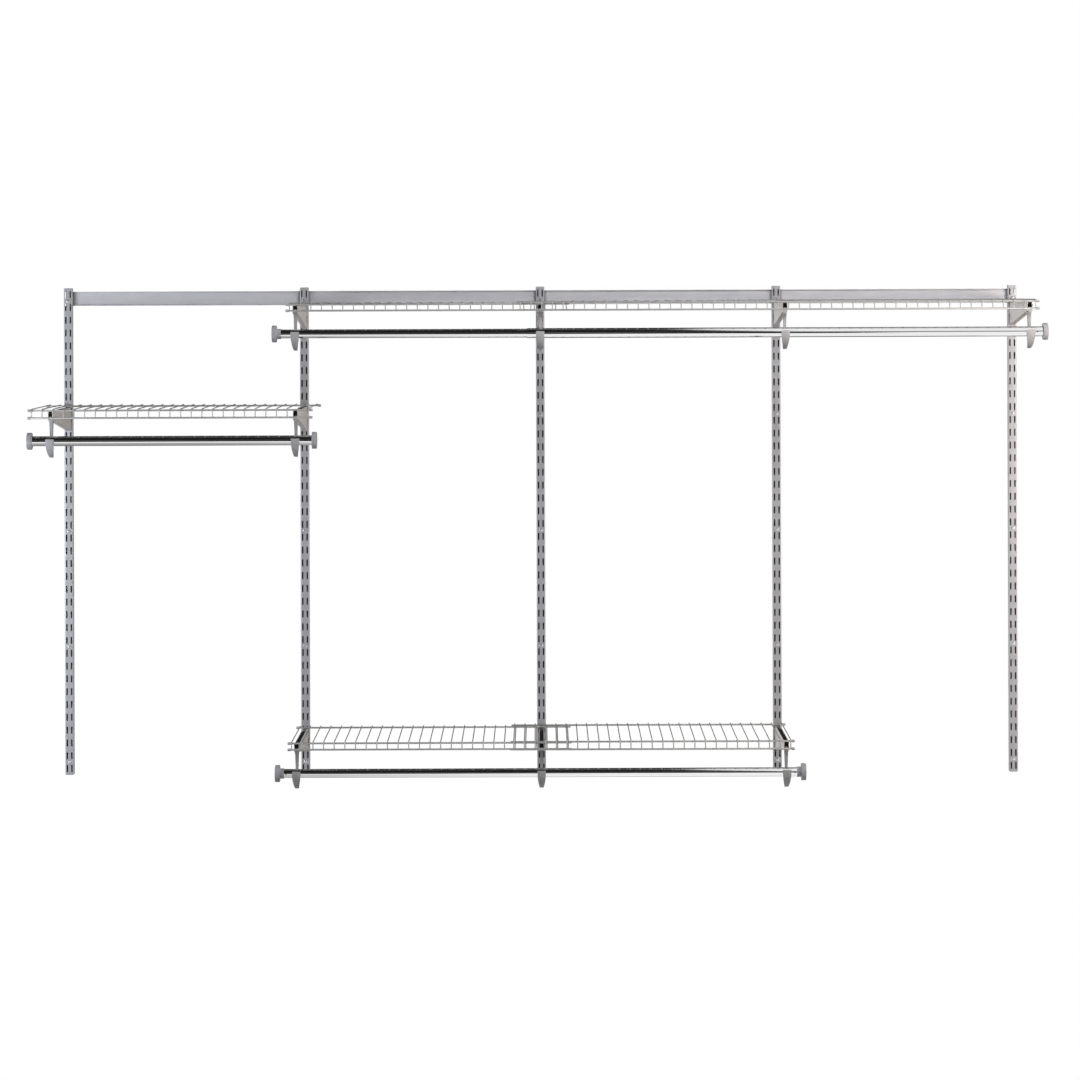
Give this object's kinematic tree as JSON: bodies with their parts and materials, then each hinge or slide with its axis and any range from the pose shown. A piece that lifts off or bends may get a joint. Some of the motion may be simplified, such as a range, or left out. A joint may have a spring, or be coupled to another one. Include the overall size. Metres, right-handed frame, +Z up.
{
  "type": "wall mounted closet system",
  "caption": "Wall-hung closet system: slotted uprights on a top rail carry brackets with wire shelves that telescope, and hooks in the bracket noses carry hanging rods.",
  "frame": {"origin": "on the wall, in the middle of the back face of the top rail, behind the middle upright", "axes": "+X along the wall to the right as seen from the room, +Y into the wall, +Z up; the front faces -Y"},
  "size_m": [2.436, 0.3302, 1.2065],
  "materials": {
    "upright_steel": "satin silver-grey coating",
    "rail_steel": "satin silver-grey coating",
    "bracket_steel": "satin warm grey coating",
    "shelf_wire": "satin silver coating",
    "rod_chrome": "polished chrome",
    "hook_plastic": "moulded mid-grey plastic",
    "cap_plastic": "moulded grey plastic",
    "liner_plastic": "moulded black plastic",
    "screw_steel": "bright zinc-plated steel"
  },
  "bodies": {
    "wall_frame": {"rail_left": "rail_steel", "rail_right": "rail_steel", "upright_1": "upright_steel", "upright_2": "upright_steel", "upright_3": "upright_steel", "upright_4": "upright_steel", "upright_5": "upright_steel", "wall_screw_1": "screw_steel", "wall_screw_2": "screw_steel", "wall_screw_3": "screw_steel", "wall_screw_4": "screw_steel", "wall_screw_5": "screw_steel", "bracket_left_1": "bracket_steel", "bracket_left_2": "bracket_steel", "bracket_top_2": "bracket_steel", "bracket_top_3": "bracket_steel", "bracket_top_4": "bracket_steel", "bracket_top_5": "bracket_steel", "bracket_lower_2": "bracket_steel", "bracket_lower_3": "bracket_steel", "bracket_lower_4": "bracket_steel", "liner_left_1": "liner_plastic", "liner_left_2": "liner_plastic", "liner_top_2": "liner_plastic", "liner_top_3": "liner_plastic", "liner_top_4": "liner_plastic", "liner_top_5": "liner_plastic", "liner_lower_2": "liner_plastic", "liner_lower_3": "liner_plastic", "liner_lower_4": "liner_plastic", "rod_hook_left_1": "hook_plastic", "rod_hook_left_2": "hook_plastic", "rod_hook_top_2": "hook_plastic", "rod_hook_top_3": "hook_plastic", "rod_hook_top_4": "hook_plastic", "rod_hook_top_5": "hook_plastic", "rod_hook_lower_2": "hook_plastic", "rod_hook_lower_3": "hook_plastic", "rod_hook_lower_4": "hook_plastic", "shelf_left": "shelf_wire", "shelf_top_outer": "shelf_wire", "shelf_lower_outer": "shelf_wire", "rod_left": "rod_chrome", "rod_lower": "rod_chrome", "rod_top_outer": "rod_chrome", "cap_left_a": "cap_plastic", "cap_left_b": "cap_plastic", "cap_lower_a": "cap_plastic", "cap_lower_b": "cap_plastic", "cap_top_b": "cap_plastic"},
    "top_shelf_inner_section": {"shelf_top_inner": "shelf_wire"},
    "lower_shelf_inner_section": {"shelf_lower_inner": "shelf_wire"},
    "top_rod_inner_section": {"rod_top_inner": "rod_chrome", "cap_top_a": "cap_plastic"}
  },
  "joints": [
    {"name": "top_shelf_slide", "type": "slide", "parent": "wall_frame", "child": "top_shelf_inner_section", "axis": [1, 0, 0], "range_m": [-0.06, 0.5]},
    {"name": "lower_shelf_slide", "type": "slide", "parent": "wall_frame", "child": "lower_shelf_inner_section", "axis": [1, 0, 0], "range_m": [-0.06, 0.5]},
    {"name": "top_rod_slide", "type": "slide", "parent": "wall_frame", "child": "top_rod_inner_section", "axis": [1, 0, 0], "range_m": [-0.09, 0.02]}
  ]
}
